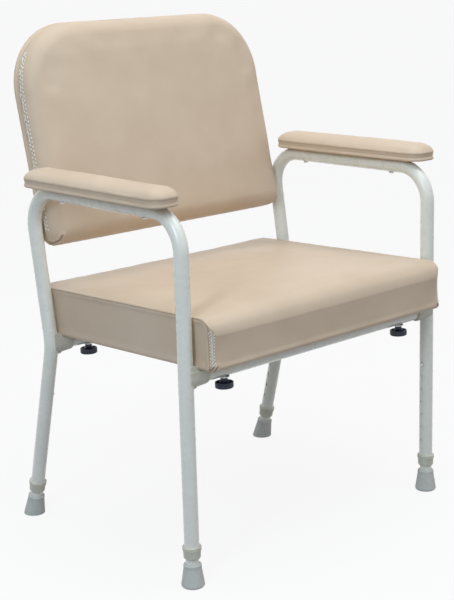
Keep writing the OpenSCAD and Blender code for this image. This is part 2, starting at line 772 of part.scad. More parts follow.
module strap_screw_places() {
    back_frame() for (share = STRAP_SCREW_SHARES)
        translate([(lug_in + strap_half_w) / 2, strap_low + share * strap_h, 0]) children();
}

module back_strap() {
    color(TUBE) whole_chair() difference() {
        back_frame() translate([-strap_half_w, strap_low, -rest_gap - snug - strap_t])
            cube([2 * strap_half_w, strap_h, strap_t]);
        back_screw_places() translate([0, 0, -2 * strap_t])
            cylinder(d = back_screw_d + 4 * snug, h = 3 * strap_t);
        for (x = [0, 1]) mirror([x, 0, 0]) strap_screw_places() translate([0, 0, -2 * strap_t])
            cylinder(d = arm_screw_d + 4 * snug, h = 3 * strap_t);
    }
}

module backrest_screws() {
    shank = strap_t + board_t - nut_flange_t;
    color(STEEL) whole_chair() back_screw_places()
        translate([0, 0, -rest_gap - 2 * snug - strap_t]) screw(back_screw_d, shank);
}

module strap_screws() {
    color(STEEL) whole_chair() for (x = [0, 1]) mirror([x, 0, 0]) strap_screw_places()
        translate([0, 0, -rest_gap - 2 * snug - strap_t]) screw(arm_screw_d, strap_t + lug_front / 2);
}

// Arm pad's own frame: z = 0 is its underside and x = 0 its middle
module pad_frame() {
    translate([half_w + pad_offset, 0, pad_z]) children();
}

function pad_plan() = [pad_half_w, pad_front, pad_front + pad_l, pad_corner_r, pad_corner_r, pad_taper];

function arm_board_plan() = let (m = board_margin, r = arm_board_half_w / 2)
    [arm_board_half_w, pad_front + m, pad_front + pad_l - m, r, r, 0];

module arm_pad(side) {
    round_r = pad_half_w * pad_round_share;
    shape = [pad_side_h + pad_dome_h, 0, round_r, pad_dome_h, 0, pad_side_h / 4, pad_side_h / 10];
    color(VINYL) on_side(side) pad_frame()
        padded_form(pad_plan(), shape, pocket_for(arm_board_plan(), rest_gap), arm_board_t + rest_gap);
}

module arm_screw_places() {
    for (y = arm_screw_ys) translate([half_w, y, pad_z]) children();
}

module arm_board(side) {
    color(PLY) on_side(side) difference() {
        pad_frame() board_plate(arm_board_plan(), arm_board_t);
        arm_screw_places() tee_nut_room(arm_screw_d, arm_board_t);
    }
}

module arm_tee_nuts() {
    color(STEEL) for (side = SIDES) on_side(side) arm_screw_places() tee_nut(arm_screw_d, arm_board_t);
}

module arm_screws() {
    shank = tube_d + rest_gap + arm_board_t - nut_flange_t;
    color(STEEL) for (side = SIDES) on_side(side) arm_screw_places()
        translate([0, 0, -rest_gap - tube_d - snug]) screw(arm_screw_d, shank);
}

for (side = SIDES) {
    side_frame(side);
    arm_pad(side);
    arm_board(side);
}
for (row = ROWS, side = SIDES) {
    corner = str(row, "_", side);
    inner_leg(row, side);
    collar(row, side);
    foot(row, side);
    snap_button(row, side);
    button_spring(row, side);
    saddle(row, side);
    knob(row, side);
    knob_stud(row, side);
    knob_washer(row, side);
}
rail("front");  // front_rail
rail("rear");  // rear_rail
rail_screws();
seat_cushion();
seat_board();
seat_tee_nuts();
backrest_cushion();
backrest_board();
backrest_tee_nuts();
back_strap();
backrest_screws();
strap_screws();
arm_screws();
arm_tee_nuts();
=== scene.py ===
"""The looks of the day chair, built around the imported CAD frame.

Blender works in metres, in the CAD's frame. The soft parts are shaped in millimetres, each in its own
frame, and their sizes are those of part.scad.
"""
import math

import bmesh
import bpy
import numpy as np
from mathutils import Matrix, Vector, kdtree, noise
from mathutils.bvhtree import BVHTree


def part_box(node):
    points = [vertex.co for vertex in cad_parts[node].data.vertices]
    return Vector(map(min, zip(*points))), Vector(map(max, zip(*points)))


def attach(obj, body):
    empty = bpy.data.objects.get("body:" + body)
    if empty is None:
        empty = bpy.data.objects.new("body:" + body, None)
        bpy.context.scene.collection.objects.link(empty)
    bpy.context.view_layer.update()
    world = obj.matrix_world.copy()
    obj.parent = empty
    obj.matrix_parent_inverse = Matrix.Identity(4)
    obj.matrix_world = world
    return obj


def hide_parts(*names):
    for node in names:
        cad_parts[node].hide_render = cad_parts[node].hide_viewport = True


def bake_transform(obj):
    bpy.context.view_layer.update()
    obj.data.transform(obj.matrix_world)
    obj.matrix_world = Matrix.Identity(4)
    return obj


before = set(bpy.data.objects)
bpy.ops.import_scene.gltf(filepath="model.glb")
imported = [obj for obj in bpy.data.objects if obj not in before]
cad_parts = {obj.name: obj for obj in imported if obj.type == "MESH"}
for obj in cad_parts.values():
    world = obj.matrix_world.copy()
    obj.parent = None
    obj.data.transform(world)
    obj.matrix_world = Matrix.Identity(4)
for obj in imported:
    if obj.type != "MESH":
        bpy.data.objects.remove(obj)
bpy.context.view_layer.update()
scene = bpy.context.scene
MM = 0.001


# Sizes of the soft parts, in millimetres

# Seat cushion
SEAT_HALF_W, SEAT_FRONT, SEAT_REAR = 285.0, -49.2, 427.8
SEAT_SEAM, SEAT_EDGE, SEAT_CROWN = 85.7, 2.0, 8.0
SEAT_NOSE, SEAT_HEM, SEAT_CORNER = 28.0, 8.0, 14.0
SEAT_EDGE_R = 6.0
SEAT_CORNER_X, SEAT_CORNER_Y = SEAT_HALF_W - SEAT_CORNER, SEAT_FRONT + SEAT_CORNER
SEAM_TURN = math.radians(24)
# The rows beside the front corner seam: how far from it, their foot, how far past the nose, their last bend
SEAT_ROWS_AWAY, SEAT_ROW_FOOT, SEAT_ROW_PAST, SEAT_ROW_END = (3.4, 9.6), 11.0, 3, (0.4, 1.2, 7)

# Backrest cushion
BACK_L, BACK_T, BACK_CROWN, BACK_EDGE, BACK_HEM = 398.0, 51.3, 8.0, 30.0, 10.0
BACK_LOW_R, BACK_TOP_R = 28.0, 122.0
BACK_SEAM, BACK_SEAM_IN, BACK_ROW, BACK_ROW_GAP = 4.5, 0.25, 20.0, 7
# Where the rows start and end, from below and from above, and how far in from the sides they may come
BACK_ROW_FOOT, BACK_ROW_HEAD, BACK_ROW_IN = 30, 50, 40

# Arm pads
PAD_HALF_W, PAD_FRONT, PAD_L, PAD_SIDE, PAD_DOME = 36.0, 8.0, 372.0, 13.0, 19.0
PAD_CORNER, PAD_TAPER, PAD_SKIN = 28.0, 8.0, 2

# The boards that they are built on, and the gaps around these
BOARD_T, BOARD_MARGIN, REST_GAP, SIDE_GAP = 12.0, 25.0, 0.3, 2.3

# Rear cover of the backrest
COVER_LAP, COVER_LOW_R, COVER_TOP_R = 8, 36, BACK_TOP_R - 18
COVER_FRONT, COVER_BACK = -0.05, -0.30
# Its sewn row: how far in from the edge, where it starts, and the height that it is sorted round
COVER_ROW_IN, COVER_ROW_FOOT, COVER_ROW_TURN = 4, 52, 150


# Frames of the soft parts

# Millimetres behind the front feet, where part.scad starts: the origin, and the backrest's lower edge
ORIGIN_Y, BACK_Y = 220.534, 406.2
# Metres and radians
RAIL_Z, SEAT_ABOVE_RAIL, SEAT_SLOPE = 0.3597, 0.013, math.radians(1.9)
BACK_Z, BACK_LEAN = 0.517, math.radians(77.6)
PAD_X, PAD_Z = 0.308, 0.6394


def scaled(m):
    return m @ Matrix.Scale(MM, 4)


def pad_matrix(sign):
    m = Matrix.Translation((sign * PAD_X, -ORIGIN_Y * MM, PAD_Z))
    if sign < 0:
        m = m @ Matrix.Diagonal((-1, 1, 1, 1))
    return scaled(m)


SEAT_M = scaled(
    Matrix.Translation((0, -ORIGIN_Y * MM, RAIL_Z)) @ Matrix.Rotation(-SEAT_SLOPE, 4, "X")
    @ Matrix.Translation((0, 0, SEAT_ABOVE_RAIL)))
BACK_M = scaled(
    Matrix.Translation((0, (BACK_Y - ORIGIN_Y) * MM, BACK_Z)) @ Matrix.Rotation(BACK_LEAN, 4, "X"))


# Materials

def new_material(name):
    m = bpy.data.materials.new(name)
    m.use_nodes = True
    tree = m.node_tree
    tree.nodes.clear()
    out = tree.nodes.new("ShaderNodeOutputMaterial")
    shader = tree.nodes.new("ShaderNodeBsdfPrincipled")
    tree.links.new(shader.outputs[0], out.inputs[0])
    return m, tree, shader


def add(tree, kind, inputs=None, **props):
    node = tree.nodes.new(kind)
    for k, v in props.items():
        setattr(node, k, v)
    for k, v in (inputs or {}).items():
        node.inputs[k].default_value = v
    return node


def place(tree):
    """Positions in the object's own space, which is the chair's space in metres."""
    return add(tree, "ShaderNodeTexCoord").outputs["Object"]


def grain(tree, coords, scale, detail=2.0, rough=0.5):
    node = add(tree, "ShaderNodeTexNoise", {"Scale": scale, "Detail": detail, "Roughness": rough})
    tree.links.new(coords, node.inputs["Vector"])
    return node.outputs["Fac"]


def ramp(tree, value, stops):
    node = add(tree, "ShaderNodeValToRGB")
    band = node.color_ramp
    while len(band.elements) < len(stops):
        band.elements.new(0.5)
    for e, (pos, colour) in zip(band.elements, stops):
        e.position = pos
        e.color = (*colour, 1)
    tree.links.new(value, node.inputs["Fac"])
    return node.outputs["Color"]


def spread(tree, value, low, high):
    node = add(tree, "ShaderNodeMapRange", {"To Min": low, "To Max": high})
    tree.links.new(value, node.inputs["Value"])
    return node.outputs[0]


def bump(tree, height, strength, distance, before=None):
    node = add(tree, "ShaderNodeBump", {"Strength": strength, "Distance": distance})
    tree.links.new(height, node.inputs["Height"])
    if before is not None:
        tree.links.new(before, node.inputs["Normal"])
    return node.outputs[0]


def linear(v):
    """A channel from 0 to 255 in sRGB as the linear value that a shader takes."""
    v = v / 255
    return v / 12.92 if v <= 0.04045 else ((v + 0.055) / 1.055) ** 2.4


def srgb(r, g, b):
    return (linear(r), linear(g), linear(b))


def vinyl_material(name, pale, deep):
    """Satin vinyl with a fine pebble grain, and painted shade multiplied in where the mesh's crease shade
    layer says so.
    """
    m, tree, shader = new_material(name)
    at = place(tree)
    tone = ramp(tree, grain(tree, at, 7, 3, 0.6), [(0.32, srgb(*deep)), (0.68, srgb(*pale))])
    crease_shade_layer = add(tree, "ShaderNodeAttribute", attribute_name="crease_shade")
    mix = add(tree, "ShaderNodeMix", data_type="RGBA", blend_type="MULTIPLY")
    # Colour of the painted shade that seams, rows, darts and folds multiply in
    mix.inputs[7].default_value = (0.34, 0.29, 0.25, 1)
    tree.links.new(crease_shade_layer.outputs["Fac"], mix.inputs[0])
    tree.links.new(tone, mix.inputs[6])
    tree.links.new(mix.outputs[2], shader.inputs["Base Color"])
    cells = add(
        tree, "ShaderNodeTexVoronoi", {"Scale": 620.0, "Randomness": 0.95}, feature="SMOOTH_F1")
    tree.links.new(at, cells.inputs["Vector"])
    pebble = bump(tree, cells.outputs["Distance"], strength=0.16, distance=0.0005)
    fine = bump(tree, grain(tree, at, 1900, 2), 0.07, 0.0003, pebble)
    soft = bump(tree, grain(tree, at, 26, 2), 0.10, 0.004, fine)
    tree.links.new(soft, shader.inputs["Normal"])
    tree.links.new(spread(tree, grain(tree, at, 34, 3), 0.40, 0.54), shader.inputs["Roughness"])
    shader.inputs["Specular IOR Level"].default_value = 0.42
    return m


def paint_material(name, colour, deep):
    """Powder coat on tube: a slight orange peel under a glossy coat."""
    m, tree, shader = new_material(name)
    at = place(tree)
    tone = ramp(tree, grain(tree, at, 18, 3, 0.6), [(0.3, srgb(*deep)), (0.7, srgb(*colour))])
    tree.links.new(tone, shader.inputs["Base Color"])
    peel = bump(tree, grain(tree, at, 300, 1), strength=0.05, distance=0.0003)
    speck = bump(tree, grain(tree, at, 2600, 1), 0.03, 0.0001, peel)
    tree.links.new(speck, shader.inputs["Normal"])
    tree.links.new(spread(tree, grain(tree, at, 60, 2), 0.22, 0.34), shader.inputs["Roughness"])
    shader.inputs["Coat Weight"].default_value = 0.8
    shader.inputs["Coat Roughness"].default_value = 0.16
    return m


def plastic_material(name, colour, deep, rough, grit):
    m, tree, shader = new_material(name)
    at = place(tree)
    tone = ramp(tree, grain(tree, at, 90, 3), [(0.3, srgb(*deep)), (0.7, srgb(*colour))])
    tree.links.new(tone, shader.inputs["Base Color"])
    pits = bump(tree, grain(tree, at, grit, 2), strength=0.14, distance=0.0003)
    tree.links.new(pits, shader.inputs["Normal"])
    sheen = spread(tree, grain(tree, at, 150, 2), rough - 0.07, rough + 0.07)
    tree.links.new(sheen, shader.inputs["Roughness"])
    return m


def steel_material(name):
    m, tree, shader = new_material(name)
    at = place(tree)
    tone = ramp(
        tree, grain(tree, at, 260, 3), [(0.3, (0.42, 0.43, 0.44)), (0.7, (0.62, 0.63, 0.63))])
    tree.links.new(tone, shader.inputs["Base Color"])
    tree.links.new(spread(tree, grain(tree, at, 700, 2), 0.28, 0.46), shader.inputs["Roughness"])
    scratches = bump(tree, grain(tree, at, 1500, 2), strength=0.1, distance=0.0002)
    tree.links.new(scratches, shader.inputs["Normal"])
    shader.inputs["Metallic"].default_value = 1.0
    return m


def wood_material(name):
    """Bare plywood, its fibres along the chair's width."""
    m, tree, shader = new_material(name)
    at = place(tree)
    stretch = add(tree, "ShaderNodeMapping")
    stretch.inputs["Scale"].default_value = (9, 160, 160)
    tree.links.new(at, stretch.inputs["Vector"])
    fibres = grain(tree, stretch.outputs[0], 1, 5, 0.6)
    tone = ramp(tree, fibres, [
        (0.28, srgb(150, 116, 78)), (0.5, srgb(197, 164, 118)), (0.75, srgb(214, 186, 143))])
    tree.links.new(tone, shader.inputs["Base Color"])
    tree.links.new(bump(tree, fibres, strength=0.2, distance=0.0004), shader.inputs["Normal"])
    tree.links.new(spread(tree, fibres, 0.55, 0.75), shader.inputs["Roughness"])
    return m


VINYL = vinyl_material("beige_vinyl", (219, 199, 176), (211, 190, 166))
PAINT = paint_material("tube_enamel", (243, 244, 235), (237, 239, 230))
IVORY = plastic_material("ivory_moulding", (222, 220, 206), (208, 206, 190), 0.42, 900)
RUBBER = plastic_material("grey_rubber_foot", (216, 218, 213), (206, 208, 202), 0.66, 1400)
BLUE = plastic_material("navy_moulding", (38, 47, 72), (28, 34, 54), 0.38, 1100)
STEEL = steel_material("zinc_plate")
WOOD = wood_material("birch_ply")
THREAD = plastic_material("cream_thread", (252, 249, 242), (240, 234, 222), 0.75, 2500)

# By the end of a node's name; every other node is steel
FINISH = {
    "side_frame": PAINT, "inner_leg": PAINT, "rail": PAINT, "back_strap": PAINT,
    "collar": IVORY, "saddle": IVORY, "foot": RUBBER, "knob": BLUE,
    "arm_board": WOOD, "seat_board": WOOD, "backrest_board": WOOD,
}
for node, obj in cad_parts.items():
    match = [finish for end, finish in FINISH.items() if node.endswith(end)]
    for slot in obj.material_slots:
        slot.material = match[0] if match else STEEL


# Padded forms

def arc(cx, cy, r, start, n):
    a = np.radians(start + np.linspace(0, 90, n))
    return np.stack([cx + r * np.cos(a), cy + r * np.sin(a)], 1)


def filled(a, b, n):
    """The points that cut the line from a to b into n pieces, without its ends."""
    t = np.arange(1, n)[:, None] / n
    return a + (b - a) * t


class Plan:
    """Rounded outline of a padded form, in millimetres, with a taper of its inner side at the front."""

    def __init__(self, half_w, front, rear, front_r, rear_r, taper=0.0, corner_n=24, step=3.6):
        self.w, self.y0, self.y1 = half_w, front, rear
        self.rf, self.rr, self.taper = front_r, rear_r, taper
        self.corner_n = corner_n
        self.nx = max(8, round(2 * half_w / step))
        self.ny = max(8, round((rear - front) / step))

    def outline(self, inset):
        w, y0, y1 = self.w - inset, self.y0 + inset, self.y1 - inset
        room = min(w, (y1 - y0) / 2) * 0.98
        rf = min(max(self.rf - inset, self.rf / 4), room)
        rr = min(max(self.rr - inset, self.rr / 4), room)
        n = self.corner_n
        fr = arc(w - rf, y0 + rf, rf, -90, n)
        br = arc(w - rr, y1 - rr, rr, 0, n)
        bl = arc(rr - w, y1 - rr, rr, 90, n)
        fl = arc(rf - w, y0 + rf, rf, 180, n)
        p = np.concatenate([
            fr, filled(fr[-1], br[0], self.ny), br, filled(br[-1], bl[0], self.nx),
            bl, filled(bl[-1], fl[0], self.ny), fl, filled(fl[-1], fr[0], self.nx)])
        return self.narrowed(p)

    def narrowed(self, p):
        near = (self.y1 - p[:, 1]) / (self.y1 - self.y0)
        inner = (self.w - p[:, 0]) / (2 * self.w)
        return np.stack([p[:, 0] + self.taper * inner * near ** 2, p[:, 1]], 1)

    def crown(self, p):
        """1 in the middle, 0 along the outline's box."""
        u = p[:, 0] / self.w
        v = (p[:, 1] - (self.y0 + self.y1) / 2) / ((self.y1 - self.y0) / 2)
        return (1 - u ** 2) * (1 - v ** 2)


def pocket_plan(like, half_w, front, rear, r, grow):
    """The pocket around a board, its outline with as many points as the form's."""
    plan = Plan(half_w + grow, front - grow, rear + grow, r + grow, r + grow)
    plan.corner_n, plan.nx, plan.ny = like.corner_n, like.nx, like.ny
    return plan


def drop(d, r, h):
    """How far an edge of radius r and depth h has fallen at each distance d from its rim."""
    d = np.clip(d, 0, r)
    return h * (1 - np.sqrt(np.clip(1 - (1 - d / r) ** 2, 0, 1)))


def level(outline, z):
    return np.column_stack([outline, np.full(len(outline), z)])


def ring_faces(n, m):
    """Faces of a closed skin of m rings of n points, which a first and a last middle point follow."""
    faces = []
    for j in range(n):
        k = (j + 1) % n
        faces.append((m * n, k, j))
        for i in range(m - 1):
            faces.append((i * n + j, i * n + k, (i + 1) * n + k, (i + 1) * n + j))
        faces.append(((m - 1) * n + j, (m - 1) * n + k, m * n + 1))
    return faces


def form_mesh(plan, pocket, pocket_h, top, crown, edge_r, edge_h, nose, hem, draw, wall_n, edge_n, inner_n):
    """Closed skin of rings, as the CAD solid has them but finer. Returns points and faces.

    It runs from the board's pocket round the hem, up the wall, which is drawn in halfway, and over the edge.
    There it follows the outline inwards for a while and then shrinks to the middle.
    """
    follow_share, hem_n, foot_flat = 0.3, 8, 2

    def height(p, inset):
        z = top + crown * plan.crown(p) - drop(np.full(len(p), inset), edge_r, edge_h)
        if nose:
            z = z - drop(p[:, 1] - plan.y0, nose, nose)
        return z

    def skin_ring(inset):
        q = plan.outline(inset)
        return np.column_stack([q, height(q, inset)])

    foot = hem / 2 + foot_flat
    rings = [level(pocket.outline(0), pocket_h), level(pocket.outline(0), 0)]
    rings.append(level(plan.outline(hem + foot), 0))
    for a in np.radians(np.linspace(0, 90, hem_n)):
        rings.append(level(plan.outline(hem * (1 - math.sin(a))), hem * (1 - math.cos(a))))
    z_top = height(plan.outline(0), 0)
    for s in 1 - (1 - np.linspace(0, 1, wall_n + 1)[1:-1]) ** 1.5:
        q = plan.outline(draw * math.sin(math.pi * s) ** 0.8)
        rings.append(np.column_stack([q, hem + (z_top - hem) * s]))
    for a in np.radians(np.linspace(0, 90, edge_n)):
        rings.append(skin_ring(edge_r * (1 - math.cos(a))))
    reach = min(plan.w, (plan.y1 - plan.y0) / 2)
    for s in np.linspace(0, follow_share, inner_n // 3 + 1)[1:]:
        rings.append(skin_ring(edge_r + s * (reach - edge_r)))
    middle = plan.narrowed(np.array([[0.0, (plan.y0 + plan.y1) / 2]]))
    q = rings[-1][:, :2]
    for s in np.linspace(1, 0, inner_n + 1)[1:-1]:
        r = middle + (q - middle) * s
        rings.append(np.column_stack([r, height(r, reach)]))
    last = np.array([[middle[0, 0], middle[0, 1], height(middle, reach)[0]]])
    first = np.array([[0, (pocket.y0 + pocket.y1) / 2, pocket_h]])
    return np.concatenate(rings + [first, last]), ring_faces(len(rings[0]), len(rings))


def mesh_object(name, points, faces):
    me = bpy.data.meshes.new(name)
    me.from_pydata([tuple(p) for p in points], [], faces)
    me.update()
    ob = bpy.data.objects.new(name, me)
    scene.collection.objects.link(ob)
    return ob


def baked(ob):
    """The object's mesh with its modifiers applied."""
    deps = bpy.context.evaluated_depsgraph_get()
    return bpy.data.meshes.new_from_object(ob.evaluated_get(deps))


def per_vertex(me, key):
    out = np.empty(len(me.vertices) * 3)
    me.vertices.foreach_get(key, out)
    return out.reshape(-1, 3)


def set_positions(me, co):
    me.vertices.foreach_set("co", np.ascontiguousarray(co).ravel())
    me.update()


def set_crease_shade(me, values):
    me.attributes.new("crease_shade", "FLOAT", "POINT").data.foreach_set("value", values.astype(np.float32))


def tree_of(points):
    kd = kdtree.KDTree(len(points))
    for i, p in enumerate(points):
        kd.insert(p, i)
    kd.balance()
    return kd


# Cloth

CLOTH_FRAMES = 20
CLOTH = {
    "quality": 5, "mass": 0.3, "tension_stiffness": 30, "compression_stiffness": 30,
    "shear_stiffness": 20, "bending_stiffness": 4, "use_pressure": True,
}

# Voxel, pressure, the most that a point moves, and how far the skin starts inside its form
CUSHION_PUFF = {"voxel": 7.0, "pressure": 4.0, "cap": 2.6, "slack": 1.3}
PAD_PUFF = {"voxel": 4.0, "pressure": 4.0, "cap": 1.6, "slack": 0.8}

# What held_near takes: the height held at the foot, the way it fades over, the same two beside a seam, and
# how finely the seam is sampled
CUSHION_HOLD = {"foot": 4, "fade": 10, "gap": 2, "seam_fade": 9, "step": 4}
PAD_HOLD = {"foot": 3, "fade": 6, "gap": 1.5, "seam_fade": 6, "step": 3}


def hold(ob, weights):
    """Pins the object's points by their weights, in steps of a tenth."""
    group = ob.vertex_groups.new(name="held")
    levels = np.round(weights, 1)
    for step in np.unique(levels):
        if step > 0:
            group.add([int(i) for i in np.nonzero(levels == step)[0]], float(step), "REPLACE")


def capped(shift, cap):
    size = np.linalg.norm(shift, axis=1, keepdims=True)
    return shift * (cap * np.tanh(size / cap) / np.maximum(size, 1e-9))


def puffed(points, faces, matrix, held, voxel, pressure, cap):
    """Cloth under pressure on a remeshed copy. Returns how far each of the points moves, in millimetres."""
    neighbours, reach = 40, 1.8 * voxel * MM
    world = np.array([matrix @ Vector(p) for p in points])
    ob = mesh_object("puff_work", world, faces)
    mod = ob.modifiers.new("even", "REMESH")
    mod.mode = "VOXEL"
    mod.voxel_size = voxel * MM
    me = baked(ob)
    ob.modifiers.clear()
    ob.data = me
    start = per_vertex(me, "co")
    inverse = matrix.inverted()
    hold(ob, held(np.array([inverse @ Vector(p) for p in start])))
    cloth = ob.modifiers.new("cloth", "CLOTH")
    for k, v in CLOTH.items():
        setattr(cloth.settings, k, v)
    cloth.settings.uniform_pressure_force = pressure
    cloth.settings.vertex_group_mass = "held"
    cloth.settings.effector_weights.gravity = 0
    cloth.collision_settings.use_collision = False
    for f in range(1, CLOTH_FRAMES + 1):
        scene.frame_set(f)
    moved = per_vertex(baked(ob), "co")
    scene.frame_set(1)
    bpy.data.objects.remove(ob)
    shift = capped((moved - start) / MM, cap)
    kd = tree_of(start)
    out = np.zeros_like(world)
    for i, p in enumerate(world):
        near = kd.find_n(p, neighbours)
        w = np.array([math.exp(-(d / reach) ** 2) + 1e-6 for _, _, d in near])
        out[i] = (shift[[j for _, j, _ in near]] * w[:, None]).sum(0) / w.sum()
    return out @ np.array(matrix.to_3x3().normalized())


# Seams, rows and folds

# Relief in millimetres; a seam's own depth comes with its piece
SEAM_W, SEAM_LIP_AT, SEAM_LIP_W, SEAM_LIP_SHARE, SEAM_PUCKER_W = 1.5, 4.2, 1.8, 0.3, 9
ROW_W, ROW_DEPTH = 3.2, 0.35
DART_W, DART_DEPTH, DART_LIP_AT, DART_LIP_W, DART_LIP = 1.4, 2.2, 3.6, 1.7, 0.6
DART_SHADE_W, DART_PUCKER_W, DART_HELD, DART_FADE = 1.3, 10, 2, 9
HEM_W = 7
# Unevenness of the vinyl, each with its grain and height: all over, beside the sewn lines, along the hem
LONG_WAVE, SHORT_WAVE = (75, 1.1), (28, 0.3)
SEAM_PUCKER, DART_PUCKER, HEM_SCALLOP = (9, 0.35), (7, 0.5), (22, 0.5)
# How dark the painted shade in a crease is, from 0 to 1; a seam's for each millimetre of its depth
SEAM_DARK, ROW_DARK = 0.45, 0.26


def smooth01(x):
    x = np.clip(x, 0, 1)
    return x * x * (3 - 2 * x)


def bell(distance, width):
    return np.exp(-(distance / width) ** 2)


def resampled(line, step):
    line = np.asarray(line, float)
    seg = np.linalg.norm(np.diff(line, axis=0), axis=1)
    s = np.concatenate([[0], np.cumsum(seg)])
    t = np.linspace(0, s[-1], max(2, int(s[-1] / step) + 1))
    return np.column_stack([np.interp(t, s, line[:, k]) for k in range(3)])


def eased(line, step=2.0, window=9):
    """The line with its corners rounded by a moving average; its ends stay."""
    p = resampled(line, step)
    k = window // 2
    padded = np.concatenate([np.repeat(p[:1], k, 0), p, np.repeat(p[-1:], k, 0)])
    mean = np.ones(window) / window
    out = np.stack([np.convolve(padded[:, i], mean, "valid") for i in range(3)], 1)
    out[0], out[-1] = p[0], p[-1]
    return out


def mirrored(sign, line):
    return [(sign * x, y, z) for x, y, z in line]


def closed(outline, z):
    line = [tuple(p) + (z,) for p in outline]
    return line + line[:1]


def distance_to(lines, points, step=1.2):
    kd = tree_of(np.concatenate([resampled(line, step) for line in lines]))
    return np.array([kd.find(p)[2] for p in points])


def held_near(seams, foot, fade, gap, seam_fade, step):
    """How firmly each point is held: wholly up to the height foot and within gap of a seam."""
    def held(p):
        w = 1 - smooth01((p[:, 2] - foot) / fade)
        return np.maximum(w, 1 - smooth01((distance_to(seams, p, step) - gap) / seam_fade))
    return held


def ripples(points, size, amount, seed):
    """Smooth unevenness of hand-fitted vinyl, in millimetres."""
    at = Vector((seed, seed * 1.7, 0))
    return np.array([noise.noise(Vector(p) / size + at) for p in points]) * amount


def on_form(form, lines, step=1.2):
    """Lines laid onto the skin of a form, each point at the nearest place."""
    skin = BVHTree.FromPolygons([tuple(p) for p in form[0]], form[1])
    return [
        np.array([skin.find_nearest(Vector(p))[0] for p in resampled(line, step)]) for line in lines]


def sewn_relief(co, nrm, seams, darts, rows, seam_depth, seed):
    """Height of the grooves, lips, folds and puckers, and the painted shade in their creases."""
    away = distance_to(seams, co)
    groove = seam_depth * (SEAM_LIP_SHARE * bell(away - SEAM_LIP_AT, SEAM_LIP_W) - bell(away, SEAM_W))
    # Painted shade in the seam's groove, darker the deeper the seam
    crease_shade = SEAM_DARK * seam_depth * bell(away, SEAM_W)
    pucker = ripples(co, *SEAM_PUCKER, seed + 9) * bell(away, SEAM_PUCKER_W)
    if rows:
        sewn = bell(distance_to(rows, co, step=2), ROW_W)
        groove -= ROW_DEPTH * sewn
        # Painted shade along the sewn rows
        crease_shade = np.maximum(crease_shade, ROW_DARK * sewn)
    if darts:
        near = distance_to(darts, co, step=0.8)
        groove -= DART_DEPTH * bell(near, DART_W) - DART_LIP * bell(near - DART_LIP_AT, DART_LIP_W)
        # Painted shade in the dart's fold, at full strength
        crease_shade = np.maximum(crease_shade, bell(near, DART_SHADE_W))
        pucker += ripples(co, *DART_PUCKER, seed + 13) * bell(near, DART_PUCKER_W)
    hem = bell(co[:, 2], HEM_W) * smooth01(1.1 - np.abs(nrm[:, 2]))
    return groove, pucker, ripples(co, *HEM_SCALLOP, seed + 17) * hem, crease_shade


def padded_piece(name, node, form, matrix, held, seams, darts=(), rows=(), *, seam_depth, puff, seed):
    """Sewn vinyl over foam, in place of a CAD node."""
    points, faces = form
    seams, darts, rows = (on_form(form, lines) for lines in (seams, darts, rows))

    def stay(q):
        w = held(q)
        if darts:
            w = np.maximum(w, 1 - smooth01((distance_to(darts, q, step=4) - DART_HELD) / DART_FADE))
        return w

    shift = puffed(points, faces, matrix, stay, puff["voxel"], puff["pressure"], puff["cap"])
    ob = mesh_object(name, points, faces)
    slack = puff["slack"] * (1 - stay(points))
    points = points + shift - per_vertex(ob.data, "normal") * slack[:, None]
    bpy.data.objects.remove(ob)
    ob = mesh_object(name, points, faces)
    me = ob.data
    co, nrm = per_vertex(me, "co"), per_vertex(me, "normal")
    groove, pucker, scallop, crease_shade = sewn_relief(co, nrm, seams, darts, rows, seam_depth, seed)
    wave = (ripples(co, *LONG_WAVE, seed) + ripples(co, *SHORT_WAVE, seed + 5)) * (1 - stay(co))
    co = co + nrm * (groove + wave + pucker + scallop)[:, None]
    set_crease_shade(me, crease_shade)
    set_positions(me, np.array([matrix @ Vector(p) for p in co]))
    if matrix.determinant() < 0:
        me.flip_normals()
    me.shade_smooth()
    me.materials.append(VINYL)
    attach(ob, "frame")
    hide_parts(node)
    return ob


# Stitching

THREAD_SIDES = 6
# A stitch as shares of the way from one hole to the next, and its height there in thicknesses
STITCH = ((0.1, 0), (0.3, 0.9), (0.5, 1.1), (0.7, 0.9), (0.9, 0))
# A knot as shares of its half length, and its height there in thicknesses
KNOT = ((-1, -0.5), (-0.5, 0.1), (0, 0.3), (0.5, 0.1), (1, -0.5))
KNOT_HALF_SHARE = 0.24


def tube_points(path, radius, ups):
    """Rings of a small tube along a path."""
    out = []
    for i, p in enumerate(path):
        along = (path[min(i + 1, len(path) - 1)] - path[max(i - 1, 0)]).normalized()
        a = along.cross(ups[i]).normalized()
        b = a.cross(along)
        for k in range(THREAD_SIDES):
            t = 2 * math.pi * k / THREAD_SIDES
            out.append(p + (a * math.cos(t) + b * math.sin(t)) * radius)
    return out


def tube_faces(base, rings):
    """Faces of a closed tube whose first point has the index base."""
    n = THREAD_SIDES
    faces = []
    for i in range(rings - 1):
        q = base + i * n
        for k in range(n):
            m = (k + 1) % n
            faces.append((q + k, q + m, q + n + m, q + n + k))
    faces.append([base + k for k in range(n)][::-1])
    faces.append([base + (rings - 1) * n + k for k in range(n)])
    return faces


def stitch_holes(skin, row, matrix, width, pitch):
    """Place, normal and direction of each hole; a row with a width has them on its two sides in turn."""
    held_at = [skin.find_nearest(matrix @ Vector(p))[:2] for p in resampled(row, pitch / 2)]
    holes = []
    for i, (at, n) in enumerate(held_at):
        j = min(max(i, 1), len(held_at) - 2)
        along = (held_at[j + 1][0] - held_at[j - 1][0]).normalized()
        side = n.cross(along).normalized() * ((1 if i % 2 else -1) * width / 2 * MM)
        holes.append((*skin.find_nearest(at + side)[:2], along))
    return holes


